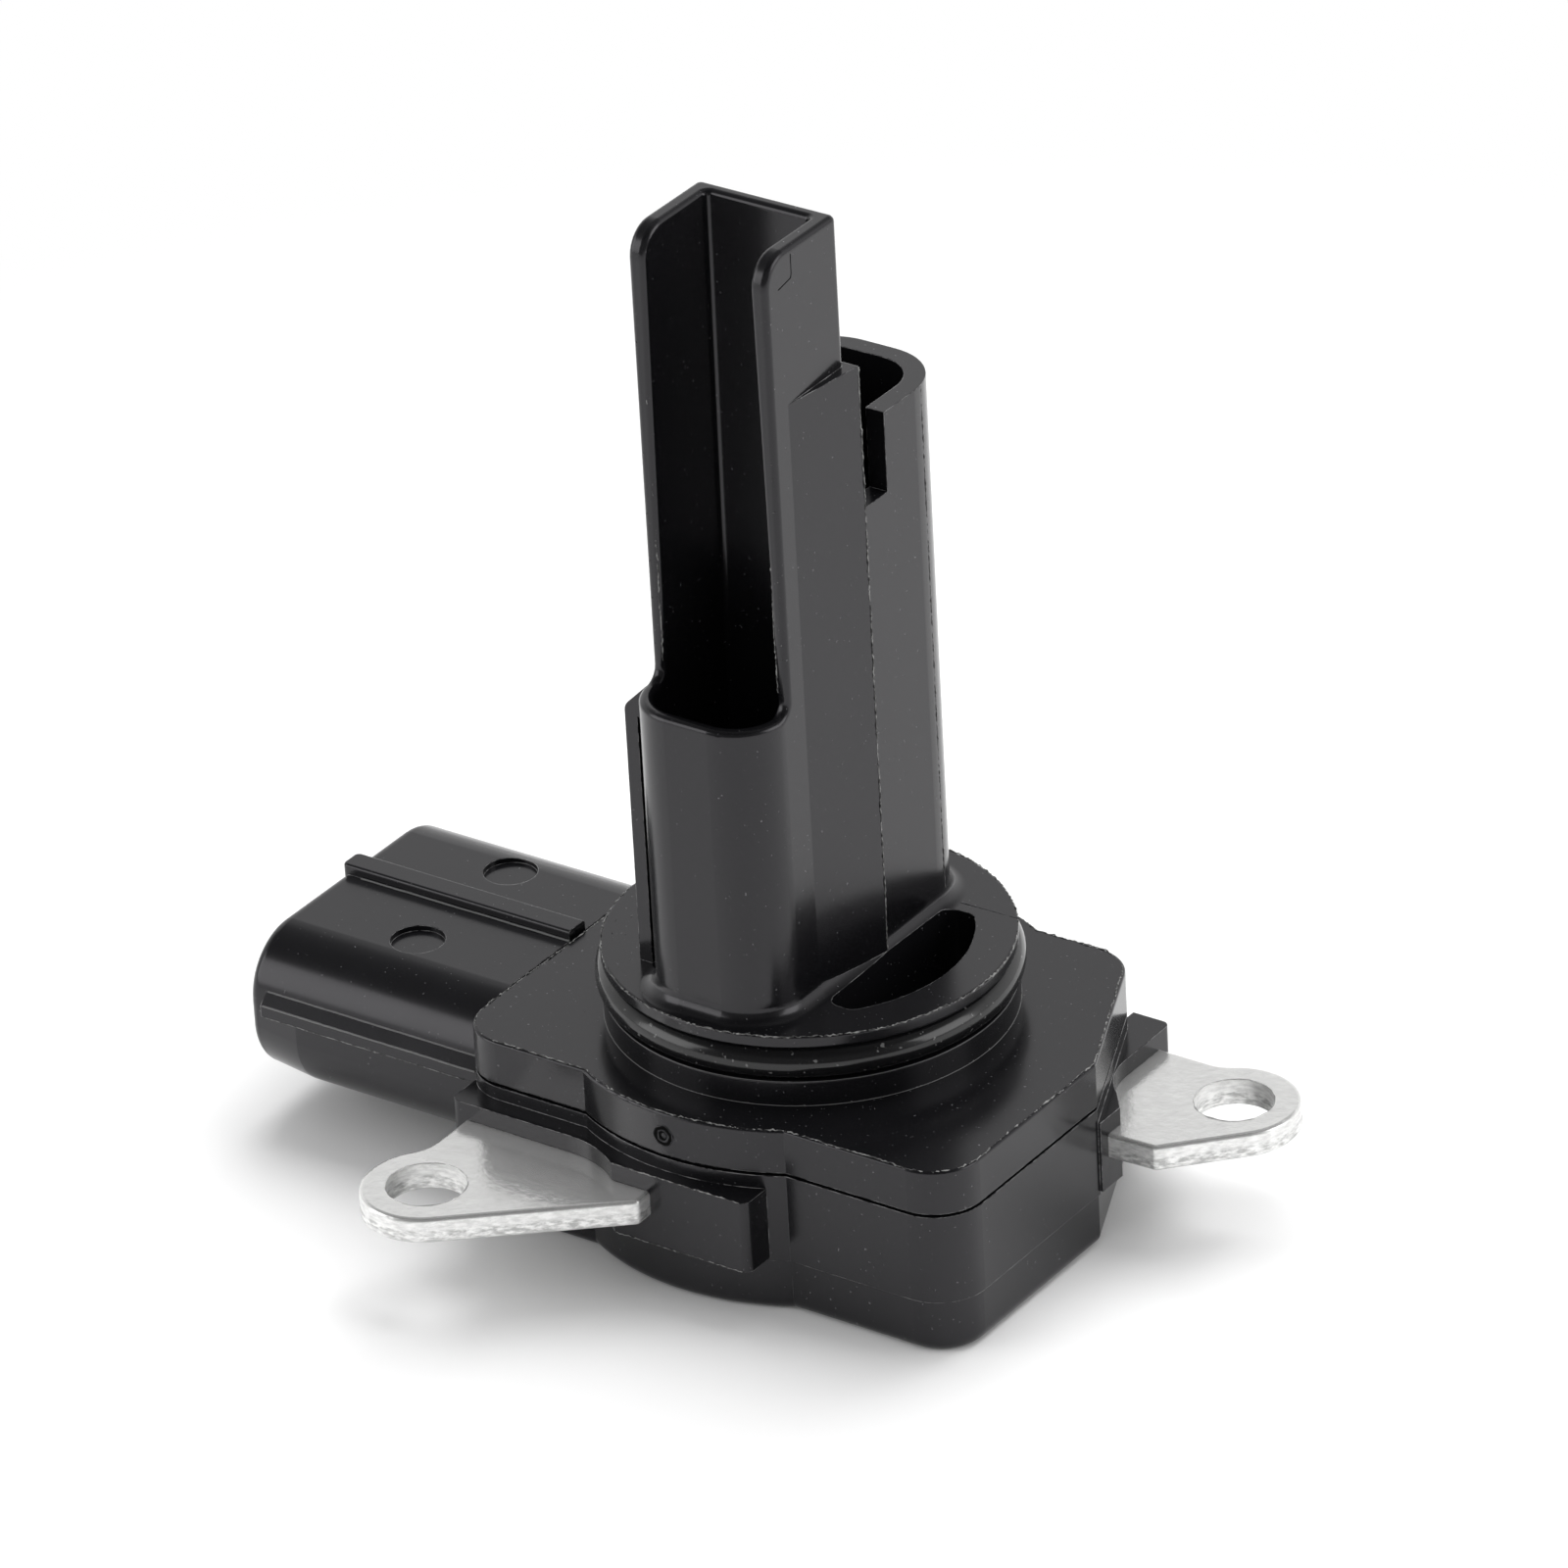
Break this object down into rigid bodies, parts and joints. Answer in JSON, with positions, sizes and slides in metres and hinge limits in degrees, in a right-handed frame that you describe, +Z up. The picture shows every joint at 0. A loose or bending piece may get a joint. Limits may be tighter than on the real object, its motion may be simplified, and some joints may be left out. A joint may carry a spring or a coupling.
{
  "type": "mass airflow sensor",
  "caption": "Plug-in mass airflow sensor: flat case with side connector and bolt ears, O-ring sealed flange and a tall open probe.",
  "frame": {"origin": "on the table under the axis of the round flange, the sensor standing on its case with the probe up", "axes": "+X away from the connector, +Y from the cup side to the outlet tube side, +Z up along the probe"},
  "size_m": [0.0689, 0.0467, 0.0738],
  "materials": {
    "black_plastic": "satin, glass-filled",
    "plate_aluminium": "rolled, semi-gloss",
    "ring_rubber": "oiled, glossy",
    "sealant": "cured silicone",
    "board_ceramic": "fired ceramic",
    "chip_epoxy": "moulded epoxy",
    "capacitor_ceramic": "fired ceramic",
    "wire_aluminium": "drawn",
    "sensing_steel": "plated",
    "element_glass": "glass coated",
    "terminal_brass": "tin plated"
  },
  "bodies": {
    "root": {"probe_housing": "black_plastic", "circuit_case": "black_plastic", "mounting_plate": "plate_aluminium", "flange_o_ring": "ring_rubber", "case_sealant": "sealant", "circuit_board": "board_ceramic", "board_adhesive": "sealant", "control_chip": "chip_epoxy", "heater_driver": "chip_epoxy", "chip_capacitors": "capacitor_ceramic", "chip_resistors": "chip_epoxy", "bond_wires": "wire_aluminium", "heater_pin_left": "sensing_steel", "heater_pin_right": "sensing_steel", "compensation_pin_left": "sensing_steel", "compensation_pin_right": "sensing_steel", "thermistor_pin_left": "sensing_steel", "thermistor_pin_right": "sensing_steel", "hot_wire_element": "element_glass", "compensation_element": "element_glass", "intake_air_thermistor": "element_glass", "connector_pin_1": "terminal_brass", "connector_pin_2": "terminal_brass", "connector_pin_3": "terminal_brass", "connector_pin_4": "terminal_brass", "connector_pin_5": "terminal_brass"}
  },
  "joints": []
}
